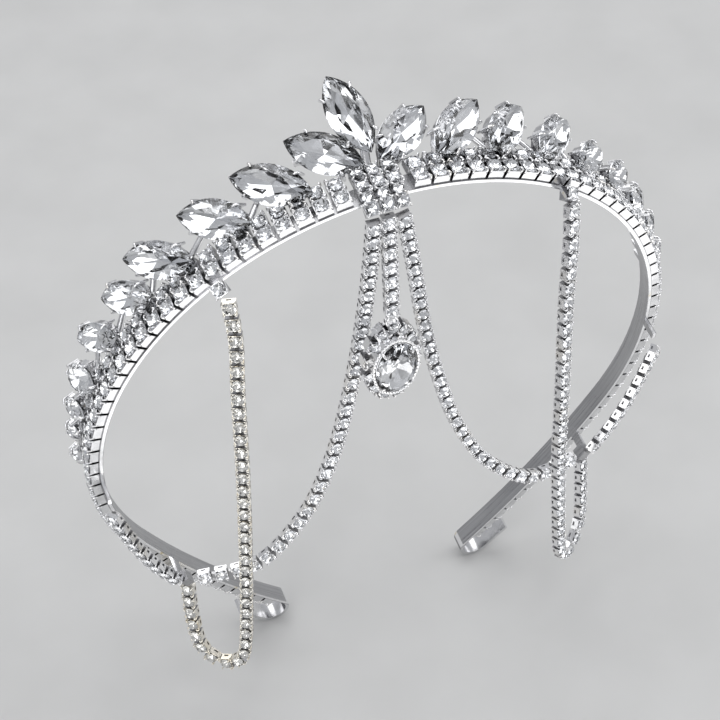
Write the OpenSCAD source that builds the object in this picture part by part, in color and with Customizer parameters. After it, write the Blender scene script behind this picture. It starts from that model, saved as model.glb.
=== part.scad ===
// Crystal headband with a middle spray, side stones and forehead chains.
// Millimetres, +Z up, the front of the wearer towards -Y.
// Origin: inner face of the band at the middle of its top.

/* [Band] */
// Inner radius of the arch of the band
arch_radius = 65; // [55:0.5:80]
// Turn of the arch from the top to where each leg starts
arch_turn = 118; // [100:1:130]
// Inner radius of the nearly straight legs
leg_radius = 220; // [120:5:400]
// Turn of each leg
leg_turn = 14.7; // [5:0.1:20]
// Width of the metal strip
strip_width = 4.3; // [3:0.1:7]
// Thickness of the metal strip
strip_thickness = 0.9; // [0.5:0.1:1.5]
// Forward lean of the plane of the band at its top
band_lean = 9; // [0:0.5:20]
// Inner radius of the turned-back tips
tip_bend = 3.3; // [2.8:0.1:5]
// Length of the turned-back end of each tip
tip_return = 8.5; // [6:0.5:16]

/* [Cup rows] */
// Distance from cup to cup along rows and chains
cup_pitch = 4; // [3.8:0.05:4.6]
// Outer side of one square cup of the rows
cup_side = 3.4; // [2.6:0.1:3.6]
// Outer side of one cup of the chains
chain_side = 2.9; // [2.4:0.1:3]
// Height of one cup
cup_height = 2; // [1.5:0.1:2.5]
// Wall of one cup
cup_wall = 0.4; // [0.3:0.05:0.6]
// Sideways offset of the front row from the middle of the strip
front_row_offset = -0.15; // [-0.5:0.05:0.5]
// Sideways offset of the back row
back_row_offset = 3.35; // [3.2:0.05:4.2]
// Cups in each half of the front row
front_row_count = 47; // [30:1:47]
// Cups of the back row on the left
back_row_left = 25; // [10:1:30]
// Cups of the back row on the right
back_row_right = 22; // [10:1:30]

/* [Middle group] */
// Sideways shift of the middle block, the centre strand and the drop
group_shift = -2.3; // [-4:0.1:4]
// Cups across the middle block
block_columns = 3; // [2:1:3]

/* [Large stones] */
// Scale of the length of every large stone
stone_length_scale = 1; // [0.85:0.01:1.05]
// Scale of the width of every large stone
stone_width_scale = 1; // [0.85:0.01:1.05]
// Height of the crown of a large stone over its girdle
crown_height = 2; // [1.2:0.1:2.5]
// Depth of the pavilion below the girdle
pavilion_depth = 2.1; // [1.6:0.1:2.8]
// Gap between a stone and its setting
stone_gap = 0.12; // [0.08:0.01:0.25]
// Wall of the claw settings
setting_wall = 0.4; // [0.3:0.05:0.6]
// Radius of one claw
claw_radius = 0.32; // [0.25:0.01:0.5]
// Radius of the posts below the settings
post_radius = 0.9; // [0.7:0.1:1.2]

/* [Drop] */
// Width of the drop over its halo
drop_width = 13.4; // [12:0.2:15]
// Height of the drop over its halo
drop_height = 20.8; // [18:0.2:21]
// Turn of the face of the drop towards the right
drop_turn = 2; // [0:1:30]
// Lean of the drop in its own plane
drop_lean = 4; // [0:1:10]
// Cups of the halo
halo_count = 13; // [11:1:14]
// Cups of the centre strand
centre_count = 7; // [5:1:8]

/* [Hidden] */

metal = [0.84, 0.85, 0.87];
crystal = [0.80, 0.88, 0.94];
arch_length = arch_radius * arch_turn * PI / 180;
leg_length = leg_radius * leg_turn * PI / 180;
half_length = arch_length + leg_length;
// Cups start a little inside the strip, so that both are one solid
cup_base = strip_thickness - 0.1;
cup_floor = 0.6;
// The back row sits lower than the front one
back_row_drop = 0.4;
// Small stones stand this far out of the cups of the chains
small_stone_height = 0.8;
// Flat link that reaches from the back of a cup to the next one
link_reach = 0.65;
link_width = 0.9;
link_thickness = 0.5;
// How fast the stones of the chains turn outwards towards the sides
chain_turn = 0.00033;
tab_thickness = 0.9;
joint_place = 145.6;
outer_end_place = 104.6;
edge_cup_left = 39;
edge_cup_right = 40.6;
edge_cup_tilt = 38;

// Proportions of a cut stone
stone_corners = 16;
// Stones longer than this part of their width are pointed, the others oval
pointed_ratio = 1.5;
table_part = 0.56;
star_part = 0.83;
crown_limit = 0.24;
pavilion_limit = 0.34;
girdle = 0.3;
// Corners of the outline that carry a claw
claw_corners = [2, 6, 10, 14];
claw_rise = 0.3;
// Arm from the tray to each claw, and how far it stays off the tray's rim and bottom
arm_width = 0.5;
arm_inset = 0.12;
tray_floor = 0.4;
// Settings are this much smaller than their stones
tray_part = 0.86;
// Width that the tapered lower part of a stone still has at the rim of its tray
room_part = 0.66;

// Side stones, one row for each size.
// side, place along the band, inner end back, inner end up, axis along, axis back, axis up,
// length, width
stone_side = 0;
stone_place = 1;
stone_back = 2;
stone_up = 3;
stone_axis = 4;
stone_length = 5;
stone_width = 6;
left_stones = [
    [-1, 20.8, 2.3, 4.2, [13.4, 11, 2.4], 17.8, 8.3],
    [-1, 33, 2.3, 4.2, [13.6, 11.8, 1.1], 17.8, 8.2],
    [-1, 46.4, 3.2, 3.9, [13, 10.4, 3.2], 16.6, 8],
    [-1, 56.2, 3.4, 3.9, [10.4, 8.2, 2.7], 13.2, 7.3],
    [-1, 67.2, 4, 3.9, [8.4, 6.6, 3.2], 10.8, 6.6],
    [-1, 77.6, 4.2, 4.6, [3.6, 3.6, 1], 7.4, 7.4],
    [-1, 85.8, 4.2, 4.4, [2.8, 2.8, 0.8], 5.2, 5.2],
    [-1, 93, 4.1, 4, [2.4, 2.4, 0.8], 4.2, 4.2],
    [-1, 101, 3.9, 3.4, [2.4, 2.4, 0.8], 4, 4]];
right_stones = [
    [1, 16.2, 2.6, 4.6, [13, 11.2, 2.8], 17.8, 8.4],
    [1, 27.4, 2.4, 4.5, [12.8, 12.2, 1.6], 17.8, 8.4],
    [1, 39.8, 3.2, 3.5, [11.8, 10.4, 2.9], 16.4, 8],
    [1, 50.4, 2.8, 3.3, [10.4, 7.8, 2.4], 12.8, 7],
    [1, 60.6, 3.5, 3.3, [8.4, 6.2, 3], 10.4, 6.4],
    [1, 70.2, 4, 4.1, [3.6, 3.6, 1], 7, 7],
    [1, 79.4, 3.9, 4.6, [2.8, 2.8, 0.8], 5.2, 5.2],
    [1, 88.2, 3.9, 5.2, [2.4, 2.4, 0.8], 4.2, 4.2]];
// Stones of the spray in the upright frame: inner end, axis, way it faces
spray_length = 17.2;
spray_width = 8.4;
spray_end = 0;
spray_axis = 1;
spray_face = 2;
spray_stones = [
    [[-2.5, 3, 8], [-4.8, 11, 12.2], [-0.24, -0.65, 0.72]],
    [[-3.4, 3.6, 4.4], [-13.7, 10.8, 2.9], [-0.27, -0.5, 0.82]],
    [[-0.6, 3.9, 4.8], [13.8, 10.5, 2], [0.27, -0.5, 0.82]]];

// Guide points of the swag: half spacing, y, z, sideways shift
swag_guide = [
    [3.3, -4.4, -4.4, 0.95],
    [5, -1.9, -20.2, 0.5],
    [7.4, 1.4, -40, 0.13],
    [10.7, 2.4, -57.6, 0.05],
    [15.3, 3.2, -75, 0],
    [22.5, 3.5, -90.5, 0],
    [34, 3.9, -102.2, 0],
    [46.6, 7.2, -105.3, 0]];
// Guide points of the outer section, from the joint up to the band
outer_guide = [
    [53.6, 7.8, -103, 0],
    [57.6, 6.4, -95, 0],
    [61.4, 5, -85, 0],
    [65, 3.6, -72.6, 0]];
// Guide points of the side strand, from the band down round its loop to the joint
strand_guide = [
    [37.2, -2.8, -15.9, -0.65],
    [36.9, -4, -25, -0.6],
    [37.1, -4.1, -40.1, -0.3],
    [37.7, -3.8, -63.7, -0.17],
    [38.6, -2.6, -89.5, -0.05],
    [40, -1.4, -113.7, -0.05],
    [41.2, -0.7, -126.6, 0],
    [43, 0.7, -131.2, 0],
    [45.9, 3.1, -133, 0],
    [48.8, 5.5, -131.2, 0],
    [50.4, 6.9, -126.6, 0],
    [50.8, 8, -118, 0],
    [50.6, 8.4, -109.2, 0]];

// Placing
module lean() {
    rotate([band_lean, 0, 0]) children();
}

// Puts children on the inner face of the band, +z outwards, +x along the band to the right
module on_band(place) {
    if (abs(place) <= arch_length)
        translate([0, 0, -arch_radius])
            rotate([0, place / arch_radius * 180 / PI, 0])
                translate([0, 0, arch_radius]) children();
    else
        translate([0, 0, -arch_radius])
            rotate([0, sign(place) * arch_turn, 0])
                translate([0, 0, arch_radius - leg_radius])
                    rotate([0, sign(place) * (abs(place) - arch_length) / leg_radius * 180 / PI, 0])
                        translate([0, 0, leg_radius]) children();
}

function unit(v) = v / norm(v);

// Turns children so that their +x runs along axis a and their +z is as near as can be to n
module facing(a, n) {
    x = unit(a);
    z = unit(n - (n * x) * x);
    y = cross(z, x);
    multmatrix([[x[0], y[0], z[0], 0], [x[1], y[1], z[1], 0], [x[2], y[2], z[2], 0], [0, 0, 0, 1]])
        children();
}

// Curve through guide points
function side_point(g, side) = [side * g[0] + group_shift * g[3], g[1], g[2]];
function smooth(a, b, c, d, t) =
    0.5 * (2 * b + (c - a) * t + (2 * a - 5 * b + 4 * c - d) * t * t
        + (3 * b - 3 * c + d - a) * t * t * t);
function curve(p) = let (n = len(p)) concat(
    [for (i = [0 : n - 2]) for (j = [0 : 7])
        smooth(p[max(i - 1, 0)], p[i], p[i + 1], p[min(i + 2, n - 1)], j / 8)], [p[n - 1]]);
function lengths(c, i = 0, sum = 0, out = []) = i >= len(c) ? out :
    lengths(c, i + 1, sum + (i + 1 < len(c) ? norm(c[i + 1] - c[i]) : 0), concat(out, [sum]));
function spot(c, l, d, i = 1) =
    (i >= len(c) - 1 || l[i] >= d)
        ? [c[i - 1] + (c[i] - c[i - 1]) * (d - l[i - 1]) / (l[i] - l[i - 1]), unit(c[i] - c[i - 1])]
        : spot(c, l, d, i + 1);

// Cups

// A square cup, open at the top, bottom at z = 0
module open_cup(side) {
    translate([-side / 2, -side / 2, 0]) cube([side, side, cup_floor]);
    translate([0, 0, cup_floor - 0.1]) linear_extrude(cup_height - cup_floor + 0.1) difference() {
        square(side, center = true);
        square(side - 2 * cup_wall, center = true);
    }
}

// A square cup with its stone set down to the rim, bottom at z = 0
module full_cup(side) {
    translate([-side / 2, -side / 2, 0]) cube([side, side, cup_height]);
}

// A cup of a chain with its stone and the link to the next cup, middle of the cup at the origin
module chain_cup() {
    translate([0, 0, -cup_height / 2]) full_cup(chain_side);
    translate([chain_side / 2 - 0.1, -link_width / 2, -cup_height / 2])
        cube([link_reach + 0.1, link_width, link_thickness]);
    translate([0, 0, cup_height / 2 - 0.1]) rotate([0, 0, 22.5])
        cylinder(small_stone_height + 0.1, r1 = chain_side / 2 - 0.1, r2 = chain_side * 0.27, $fn = 8);
}

// Cups at equal steps along a curve, their stones turned to the front and outwards
module chain(points, step_length) {
    c = curve(points);
    l = lengths(c);
    total = l[len(l) - 1];
    count = floor(total / step_length + 0.5);
    for (i = [0 : count]) {
        s = spot(c, l, min(i * total / count, total - 0.001));
        outwards = s[0][0] * abs(s[0][0]) * chain_turn;
        translate(s[0]) facing(s[1], [outwards, -1, 0.1]) chain_cup();
    }
}

// Large stones
// Pointed outline of two arcs, and round outline
function lens_side(l, w, up) =
    let (r = (l * l + w * w) / (4 * w), a = asin(l / (2 * r)), h = stone_corners / 2)
    [for (i = [0 : h - 1]) let (t = -a + 2 * a * i / h) up * [-r * sin(t), r * cos(t) - r + w / 2]];
function lens(l, w) = concat(lens_side(l, w, 1), lens_side(l, w, -1));
function oval(l, w) = [for (i = [0 : stone_corners - 1])
    [l / 2 * cos(i * 360 / stone_corners), w / 2 * sin(i * 360 / stone_corners)]];
function outline(l, w) = l > pointed_ratio * w ? lens(l, w) : oval(l, w);
function level(o, part, z) = [for (p = o) [p[0] * part, p[1] * part, z]];
function crown(w) = min(crown_height, w * crown_limit);
function pavilion(w) = min(pavilion_depth, w * pavilion_limit);

// Cut stone, girdle at z = 0: table, star ring, crown, girdle and pavilion
module cut_stone(l, w) {
    o = outline(l, w);
    n = len(o);
    middles = [for (i = [0 : n - 1]) (o[i] + o[(i + 1) % n]) / 2];
    points = concat(
        level(o, table_part, crown(w)),
        level(middles, star_part, crown(w) * table_part),
        level(o, 1, girdle / 2),
        level(o, 1, -girdle / 2),
        [[0, 0, -pavilion(w)]]);
    polyhedron(points, concat(
        [[for (i = [0 : n - 1]) n - 1 - i]],
        [for (i = [0 : n - 1]) [i, (i + 1) % n, n + i]],
        [for (i = [0 : n - 1]) [(i + 1) % n, n + (i + 1) % n, n + i]],
        [for (i = [0 : n - 1]) [n + i, 2 * n + (i + 1) % n, 2 * n + i]],
        [for (i = [0 : n - 1]) [n + i, n + (i + 1) % n, 2 * n + (i + 1) % n]],
        [for (i = [0 : n - 1]) [2 * n + i, 2 * n + (i + 1) % n, 3 * n + (i + 1) % n, 3 * n + i]],
        [for (i = [0 : n - 1]) [3 * n + i, 3 * n + (i + 1) % n, 4 * n]]));
}

// Claw setting of a stone: a low tray under it, and claws on arms that reach out of the tray
function seat_depth(w) = pavilion(w) + 0.15;
// Distance from the girdle down to the rim of the tray
function rim_drop(w) =
    pavilion(w) - (pavilion(w) - girdle / 2) * (room_part - 2 * stone_gap / w);
module setting(l, w) {
    bottom = -seat_depth(w) - tray_floor;
    rim = -rim_drop(w);
    translate([0, 0, bottom]) linear_extrude(rim - bottom) polygon(outline(l, w) * tray_part);
    for (i = claw_corners) {
        corner = outline(l, w)[i];
        reach = norm(corner) + stone_gap + claw_radius;
        rotate([0, 0, atan2(corner[1], corner[0])]) {
            translate([norm(corner) * room_part, -arm_width / 2, bottom + arm_inset])
                cube([reach - norm(corner) * room_part, arm_width, rim - bottom - 2 * arm_inset]);
            translate([reach, 0, bottom]) cylinder(h = claw_rise - bottom, r = claw_radius, $fn = 16);
        }
    }
}

// Room of a stone: its outline over the rim of its tray, and the hollow of the tray below
module stone_room(l, w) {
    ends = l > pointed_ratio * w ? 3 : 2;
    hollow = outline(l * tray_part - ends * setting_wall, w * tray_part - 2 * setting_wall);
    translate([0, 0, -rim_drop(w)]) linear_extrude(rim_drop(w) + crown_height + 0.3)
        polygon(outline(l + 2 * stone_gap, w + 2 * stone_gap));
    translate([0, 0, -seat_depth(w)]) linear_extrude(seat_depth(w)) polygon(hollow);
}

// A round rod from point a to point b
module rod(a, b, r) {
    d = b - a;
    translate(a) rotate([0, acos(d[2] / norm(d)), atan2(d[1], d[0])])
        cylinder(h = norm(d), r = r, $fn = 20);
}

// Point given in the frame of a stone, seen from the frame that the stone is placed in
function in_stone(mid, a, n, p) =
    let (x = unit(a), z = unit(n - (n * x) * x), y = cross(z, x))
    mid + p[0] * x + p[1] * y + p[2] * z;

function stone_mid(row) = let (a = row[stone_axis])
    [0, row[stone_back] + a[1] / 2, row[stone_up] + a[2] / 2];
function stone_way(row) = let (a = row[stone_axis]) [row[stone_side] * a[0], a[1], a[2]];
function stone_face(row) = [row[stone_side] * 0.15, -0.45, 0.88];

module at_stone(row) {
    lean() on_band(row[stone_side] * row[stone_place])
        translate(stone_mid(row)) facing(stone_way(row), stone_face(row)) children();
}

function spray_mid(row) = row[spray_end] + row[spray_axis] / 2;
module at_spray(row) {
    translate(spray_mid(row)) facing(row[spray_axis], row[spray_face]) children();
}

// Point of the upright band frame for a point p given at a place on the arch
function arch_point(place, p) = let (t = place / arch_radius * 180 / PI, h = p[2] + arch_radius)
    [p[0] * cos(t) + h * sin(t), p[1], h * cos(t) - p[0] * sin(t) - arch_radius];
// Point given in the frame of a side stone
function stone_point(row, p) = arch_point(row[stone_side] * row[stone_place],
    in_stone(stone_mid(row), stone_way(row), stone_face(row), p));
// Point on the underside of the setting of a side stone
function floor_point(row, along) = let (x = row[stone_length] * stone_length_scale * along)
    stone_point(row, [x, 0, -seat_depth(row[stone_width] * stone_width_scale) - tray_floor / 2]);

module side_room(row) {
    at_stone(row) stone_room(row[stone_length] * stone_length_scale, row[stone_width] * stone_width_scale);
}

// Setting of a side stone with the post that stands on the back row
module side_setting(row) {
    at_stone(row) setting(row[stone_length] * stone_length_scale, row[stone_width] * stone_width_scale);
    foot = row[stone_side] * (row[stone_place] - row[stone_axis][0] * 0.3);
    foot_point = arch_point(foot, [0, back_row_offset + 0.3, cup_height - back_row_drop]);
    lean() rod(foot_point, floor_point(row, -0.2), post_radius);
}

// Soldered link from the underside of one setting to the inner end of the next
module setting_link(row, next) {
    lean() rod(floor_point(row, 0.12), floor_point(next, -0.37), post_radius * 0.75);
}

// Setting of a stone of the spray with the post that stands on the middle block
module spray_setting(row) {
    at_spray(row) setting(spray_length * stone_length_scale, spray_width * stone_width_scale);
    under = [-spray_length * 0.32, 0, -seat_depth(spray_width * stone_width_scale) - tray_floor / 2];
    head = in_stone(spray_mid(row), row[spray_axis], row[spray_face], under);
    rod([group_shift + row[spray_axis][0] * 0.15, 4, 2.4], head, post_radius);
}

// Band
module strip() {
    half = strip_width / 2;
    translate([0, 0, -arch_radius]) rotate([90, 0, 0])
        rotate_extrude(angle = 2 * arch_turn, start = 90 - arch_turn, $fn = 240)
            translate([arch_radius, -half]) square([strip_thickness, strip_width]);
    for (side = [-1, 1]) {
        on_band(side * arch_length) translate([0, 0, -leg_radius]) rotate([90, 0, 0])
            rotate_extrude(angle = leg_turn, start = side > 0 ? 90 - leg_turn : 90, $fn = 720)
                translate([leg_radius, -half]) square([strip_thickness, strip_width]);
        on_band(side * half_length) {
            translate([0, 0, strip_thickness + tip_bend]) rotate([90, 0, 0])
                rotate_extrude(angle = 180.4, start = side > 0 ? -90.2 : 89.8, $fn = 48)
                    translate([tip_bend, -half]) square([strip_thickness, strip_width]);
            translate([side > 0 ? -tip_return : -0.01, -half, strip_thickness + 2 * tip_bend])
                cube([tip_return + 0.01, strip_width, strip_thickness]);
        }
    }
}

block_column = chain_side + 0.25;
function in_block(place) = abs(place - group_shift) < block_columns * block_column / 2 + 1.6;
function half_step(i) = (i + 0.5) * cup_pitch;

module rows() {
    for (side = [-1, 1]) {
        for (i = [0 : front_row_count - 1]) if (!in_block(side * half_step(i)))
            on_band(side * half_step(i)) translate([0, front_row_offset, cup_base]) open_cup(cup_side);
        back_count = side < 0 ? back_row_left : back_row_right;
        for (i = [0 : back_count - 1]) if (!in_block(side * half_step(i)))
            on_band(side * half_step(i)) {
                translate([0, back_row_offset, cup_base - back_row_drop]) full_cup(cup_side);
                // bridge from the strip to the back cup
                translate([-0.8, 1, 0.1]) cube([1.6, back_row_offset + 0.4, tab_thickness]);
            }
    }
}

// A cup soldered to the front edge and turned down over it
module edge_cup(place) {
    edge = -strip_width / 2;
    on_band(place) {
        translate([-0.8, edge - 0.7, 0.2]) cube([1.6, 2, 0.8]);
        translate([0, edge + 0.1, strip_thickness]) rotate([edge_cup_tilt, 0, 0])
            translate([0, -1.5, -0.35]) open_cup(chain_side);
    }
}

module middle_block() {
    wide = block_columns * block_column - 0.4;
    on_band(group_shift) translate([-wide / 2, -1.9, 0.4]) cube([wide, 6.9, tab_thickness]);
    for (i = [0 : block_columns - 1]) {
        place = group_shift + (i - (block_columns - 1) / 2) * block_column;
        on_band(place) for (y = [0.2, 3.5]) translate([0, y, cup_base + 0.3]) full_cup(chain_side);
        edge_cup(place);
    }
}

// Cup on a tab over the front edge, where the three chains of a side meet
module joint_cup() {
    translate([-1, -8.4, -0.2]) cube([2, 7.4, tab_thickness]);
    translate([0, chain_side / 2 - 9.6, 0.1]) mirror([0, 0, 1]) full_cup(chain_side);
}

module band() {
    color(metal) {
        lean() {
            strip();
            rows();
            middle_block();
            edge_cup(-edge_cup_left);
            edge_cup(edge_cup_right);
            for (side = [-1, 1]) {
                on_band(side * joint_place) joint_cup();
                // tab at the upper end of the outer section
                on_band(side * outer_end_place) translate([-0.8, -6.6, 0]) cube([1.6, 5, tab_thickness]);
            }
        }
        difference() {
            union() {
                for (row = left_stones) side_setting(row);
                for (row = right_stones) side_setting(row);
                for (i = [1 : len(left_stones) - 1]) setting_link(left_stones[i - 1], left_stones[i]);
                for (i = [1 : len(right_stones) - 1]) setting_link(right_stones[i - 1], right_stones[i]);
                for (row = spray_stones) spray_setting(row);
            }
            for (row = left_stones) side_room(row);
            for (row = right_stones) side_room(row);
            for (row = spray_stones)
                at_spray(row) stone_room(spray_length * stone_length_scale, spray_width * stone_width_scale);
        }
    }
}

// Drop
link_radius = 1.2;
link_wire = 0.3;
centre_step = 3.85;
centre_top = -4;
centre_end = centre_top - (centre_count - 1) * centre_step;
link_height = centre_end - chain_side / 2 - 0.75;
ring_height = link_height - 0.45 - link_radius;
strand_x = group_shift;
strand_y = -4.4;
drop_mid = ring_height - 0.1 - drop_height / 2;
drop_rise = 4.4;
halo_cup = 1.4;
halo_cup_height = 2.2;
halo_stone_height = 0.8;
collar_size = [10.6, 14.8];
collar_hole = [9.8, 14];
drop_stone_size = [13.6, 9.4];

module ring() {
    rotate_extrude($fn = 32) translate([link_radius, 0]) circle(link_wire, $fn = 16);
}

module centre_strand() {
    color(crystal) {
        for (i = [0 : centre_count - 1])
            translate([strand_x, strand_y, centre_top - i * centre_step])
                facing([0, 0, -1], [0, -1, 0]) chain_cup();
        translate([strand_x, strand_y, link_height]) rotate([0, 90, 0]) ring();
    }
}

module on_drop() {
    translate([strand_x - 0.5, strand_y + 1.5, drop_mid]) rotate([0, 0, drop_turn])
        rotate([90, 0, 0]) rotate([0, 0, -drop_lean]) children();
}

module oval_plate(size, height) {
    linear_extrude(height) scale(size / 2) circle(1, $fn = 48);
}

module drop_setting() {
    color(metal) {
        translate([strand_x, strand_y, ring_height]) rotate([90, 0, 0]) ring();
        on_drop() {
            half_size = [drop_width / 2 - halo_cup, drop_height / 2 - halo_cup];
            // back plate
            translate([0, 0, -0.4]) oval_plate(2 * half_size + [1.2, 1.2], 0.9);
            for (i = [0 : halo_count - 1]) {
                t = 90 + i * 360 / halo_count;
                translate([half_size[0] * cos(t), half_size[1] * sin(t), -0.4]) {
                    cylinder(h = halo_cup_height, r = halo_cup, $fn = 24);
                    translate([0, 0, halo_cup_height - 0.1])
                        cylinder(h = halo_stone_height, r1 = halo_cup - 0.2, r2 = halo_cup / 2, $fn = 8);
                }
            }
            // collar that lifts the middle stone over its halo
            difference() {
                translate([0, 0, 0.3]) oval_plate(collar_size, drop_rise - 0.4);
                translate([0, 0, drop_rise - 2.4]) oval_plate(collar_hole, 4);
            }
        }
    }
}

module drop_stone() {
    color(crystal) on_drop() translate([0, 0, drop_rise]) rotate([0, 0, 90])
        cut_stone(drop_stone_size[0], drop_stone_size[1]);
}

// The other pieces
module large_stone(row) {
    color(crystal) at_stone(row)
        cut_stone(row[stone_length] * stone_length_scale, row[stone_width] * stone_width_scale);
}

module spray_stone(row) {
    color(crystal) at_spray(row)
        cut_stone(spray_length * stone_length_scale, spray_width * stone_width_scale);
}

module swag(side) {
    color(crystal) {
        chain([for (g = swag_guide) side_point(g, side)], cup_pitch);
        chain([for (g = outer_guide) side_point(g, side)], cup_pitch);
    }
}

module side_strand(side) {
    color(crystal) chain([for (g = strand_guide) side_point(g, side)], cup_pitch);
}

band();
spray_stone(spray_stones[0]);  // spray_stone_mid
spray_stone(spray_stones[1]);  // spray_stone_left
spray_stone(spray_stones[2]);  // spray_stone_right
large_stone(left_stones[0]);  // left_stone_1
large_stone(left_stones[1]);  // left_stone_2
large_stone(left_stones[2]);  // left_stone_3
large_stone(left_stones[3]);  // left_stone_4
large_stone(left_stones[4]);  // left_stone_5
large_stone(left_stones[5]);  // left_stone_6
large_stone(left_stones[6]);  // left_stone_7
large_stone(left_stones[7]);  // left_stone_8
large_stone(left_stones[8]);  // left_stone_9
large_stone(right_stones[0]);  // right_stone_1
large_stone(right_stones[1]);  // right_stone_2
large_stone(right_stones[2]);  // right_stone_3
large_stone(right_stones[3]);  // right_stone_4
large_stone(right_stones[4]);  // right_stone_5
large_stone(right_stones[5]);  // right_stone_6
large_stone(right_stones[6]);  // right_stone_7
large_stone(right_stones[7]);  // right_stone_8
centre_strand();
swag(-1);  // left_swag
swag(1);  // right_swag
side_strand(-1);  // left_side_strand
side_strand(1);  // right_side_strand
drop_setting();
drop_stone();
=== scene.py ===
"""Looks of the crystal headband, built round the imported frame.

Shapes are worked out in millimetres and written in metres. Each small shape has its own frame,
and a 4 x 4 matrix places it.
"""

import math

import bpy
import numpy as np
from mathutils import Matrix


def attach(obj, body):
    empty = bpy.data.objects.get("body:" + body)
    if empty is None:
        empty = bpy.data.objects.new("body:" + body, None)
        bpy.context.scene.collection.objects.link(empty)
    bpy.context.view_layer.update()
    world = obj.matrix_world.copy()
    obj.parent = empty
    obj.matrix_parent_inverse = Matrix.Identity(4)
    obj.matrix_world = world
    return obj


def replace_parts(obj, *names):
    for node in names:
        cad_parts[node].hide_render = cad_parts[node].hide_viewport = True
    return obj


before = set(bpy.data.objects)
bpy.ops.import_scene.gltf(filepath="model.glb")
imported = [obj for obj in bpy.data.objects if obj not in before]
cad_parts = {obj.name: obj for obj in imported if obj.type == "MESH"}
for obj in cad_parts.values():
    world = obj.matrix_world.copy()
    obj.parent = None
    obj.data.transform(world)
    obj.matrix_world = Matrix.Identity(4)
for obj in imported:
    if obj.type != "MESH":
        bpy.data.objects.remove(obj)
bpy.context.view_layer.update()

MM = 0.001
SEED = 7

# Band, as built
ARCH_RADIUS = 65.0
ARCH_TURN = math.radians(118)
LEG_RADIUS = 220.0
BAND_LEAN = math.radians(9)
ARCH_LENGTH = ARCH_RADIUS * ARCH_TURN
STRIP_WIDTH = 4.3
STRIP_THICKNESS = 0.9

# Rows of cups on the band, with the number of cups to the left and to the right
CUP_PITCH = 4.0
CUP_SIDE = 3.4
CUP_TOP = 2.8
ROW_STONE = 1.58
FRONT_ROW_OFFSET = -0.15
FRONT_ROW_COUNT = {-1: 47, 1: 47}
BACK_ROW_OFFSET = 3.35
BACK_ROW_DROP = 0.4
BACK_ROW_COUNT = {-1: 25, 1: 22}

# Middle block: its rows and columns, and how near to it the rows on the band may come
GROUP_SHIFT = -2.3
BLOCK_COLUMNS = 3
BLOCK_COLUMN = 3.15
BLOCK_TOP = 3.1
BLOCK_ROWS = (0.2, 3.5)
BLOCK_STONE = 1.38
BLOCK_MARGIN = 1.6

# Stones on the block's front, and cups that are turned down over the strip's front edge
SLOPE_SEAT = (0, -1.75, 2.15)
SLOPE_TILT = math.radians(40)
SLOPE_STONE = 1.15
EDGE_CUP_PLACES = (-39.0, 40.6)
EDGE_CUP_SEAT = (0, 0.1 - STRIP_WIDTH / 2, STRIP_THICKNESS)
EDGE_CUP_TILT = math.radians(38)
EDGE_CUP_RIM = (0, -1.5, 1.65)

# Small cups: lift of the stone's girdle over the rim and depth of its pavilion
ON_CLOSED_CUP = (0.46, 0.42)
IN_OPEN_CUP = (0.2, 0.95)
CUP_STONE_CROWN = 0.72
CUP_STONE_SPIN = 0.35
CUP_STONE_TILT = 0.05

# Cups of the chains, with heights from the cup's middle
CHAIN_SIDE = 2.9
CHAIN_BACK = -1.0
CHAIN_WALL_TOP = 0.72
CHAIN_WALL = 0.28
CHAIN_SLOT = 0.55
CHAIN_SLOT_LOW = CHAIN_BACK + 0.28
CHAIN_SLOT_HIGH = CHAIN_BACK + 0.72
# Dark block inside the cup: painted shade that shows through the slots
CHAIN_SHADE_BLOCK_GAP = 0.05
CHAIN_SHADE_BLOCK_LOW = CHAIN_BACK + 0.1
CHAIN_SHADE_BLOCK_HIGH = -0.1
CHAIN_STONE = 1.4
CHAIN_STONE_CROWN = 0.74
CHAIN_STONE_DEPTH = 0.9
CHAIN_STONE_LIFT = 0.92
CHAIN_STONE_SPIN = 0.4
CHAIN_STONE_TILT = 0.06
LINK_END = 0.9
LINK_HEIGHT = CHAIN_BACK + 0.5
LINK_RADIUS = 0.42
LINK_FLATNESS = 0.45
NEIGHBOUR_REACH = 1.6

# What tells the frame of a packed cup: its stone's slopes and top, and the end of its link
SLOPE_AREA = (0.62, 0.98)
PACKED_CUP_TOP = 1.8
PACKED_TOP_SLACK = 0.05
PACKED_CUP_HEIGHT = 3.0
PACKED_LINK_TOP = -0.4
PACKED_LINK_REACH = (2.1, 2.25)
SAME_WAY = 0.9995
GIRDLE_SLACK = 0.3

# Cut stones: mains round a stone, and how far up the crown and down the pavilion its kites reach
MAINS = 8
STAR_LEVEL = 0.5
MAIN_LEVEL = 0.55

# Large stones with the corners of their outline that carry a claw. Each point of a claw's tip has
# its way out from the wire's foot, its height over the girdle and the wire's radius
POINTED_RATIO = 1.5
PACKED_CORNERS = 16
CLAW_CORNERS = (2, 6, 10, 14)
CLAW_REACH = 0.12 + 0.32
DROP_CLAW_REACH = 0.3
CLAW_TIP = [
    (0, -0.8, 0.35),
    (0.02, 0.05, 0.35),
    (-0.04, 0.4, 0.34),
    (-0.28, 0.66, 0.31),
    (-0.62, 0.9, 0.27),
    (-1.0, 1.12, 0.17),
]

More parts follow.
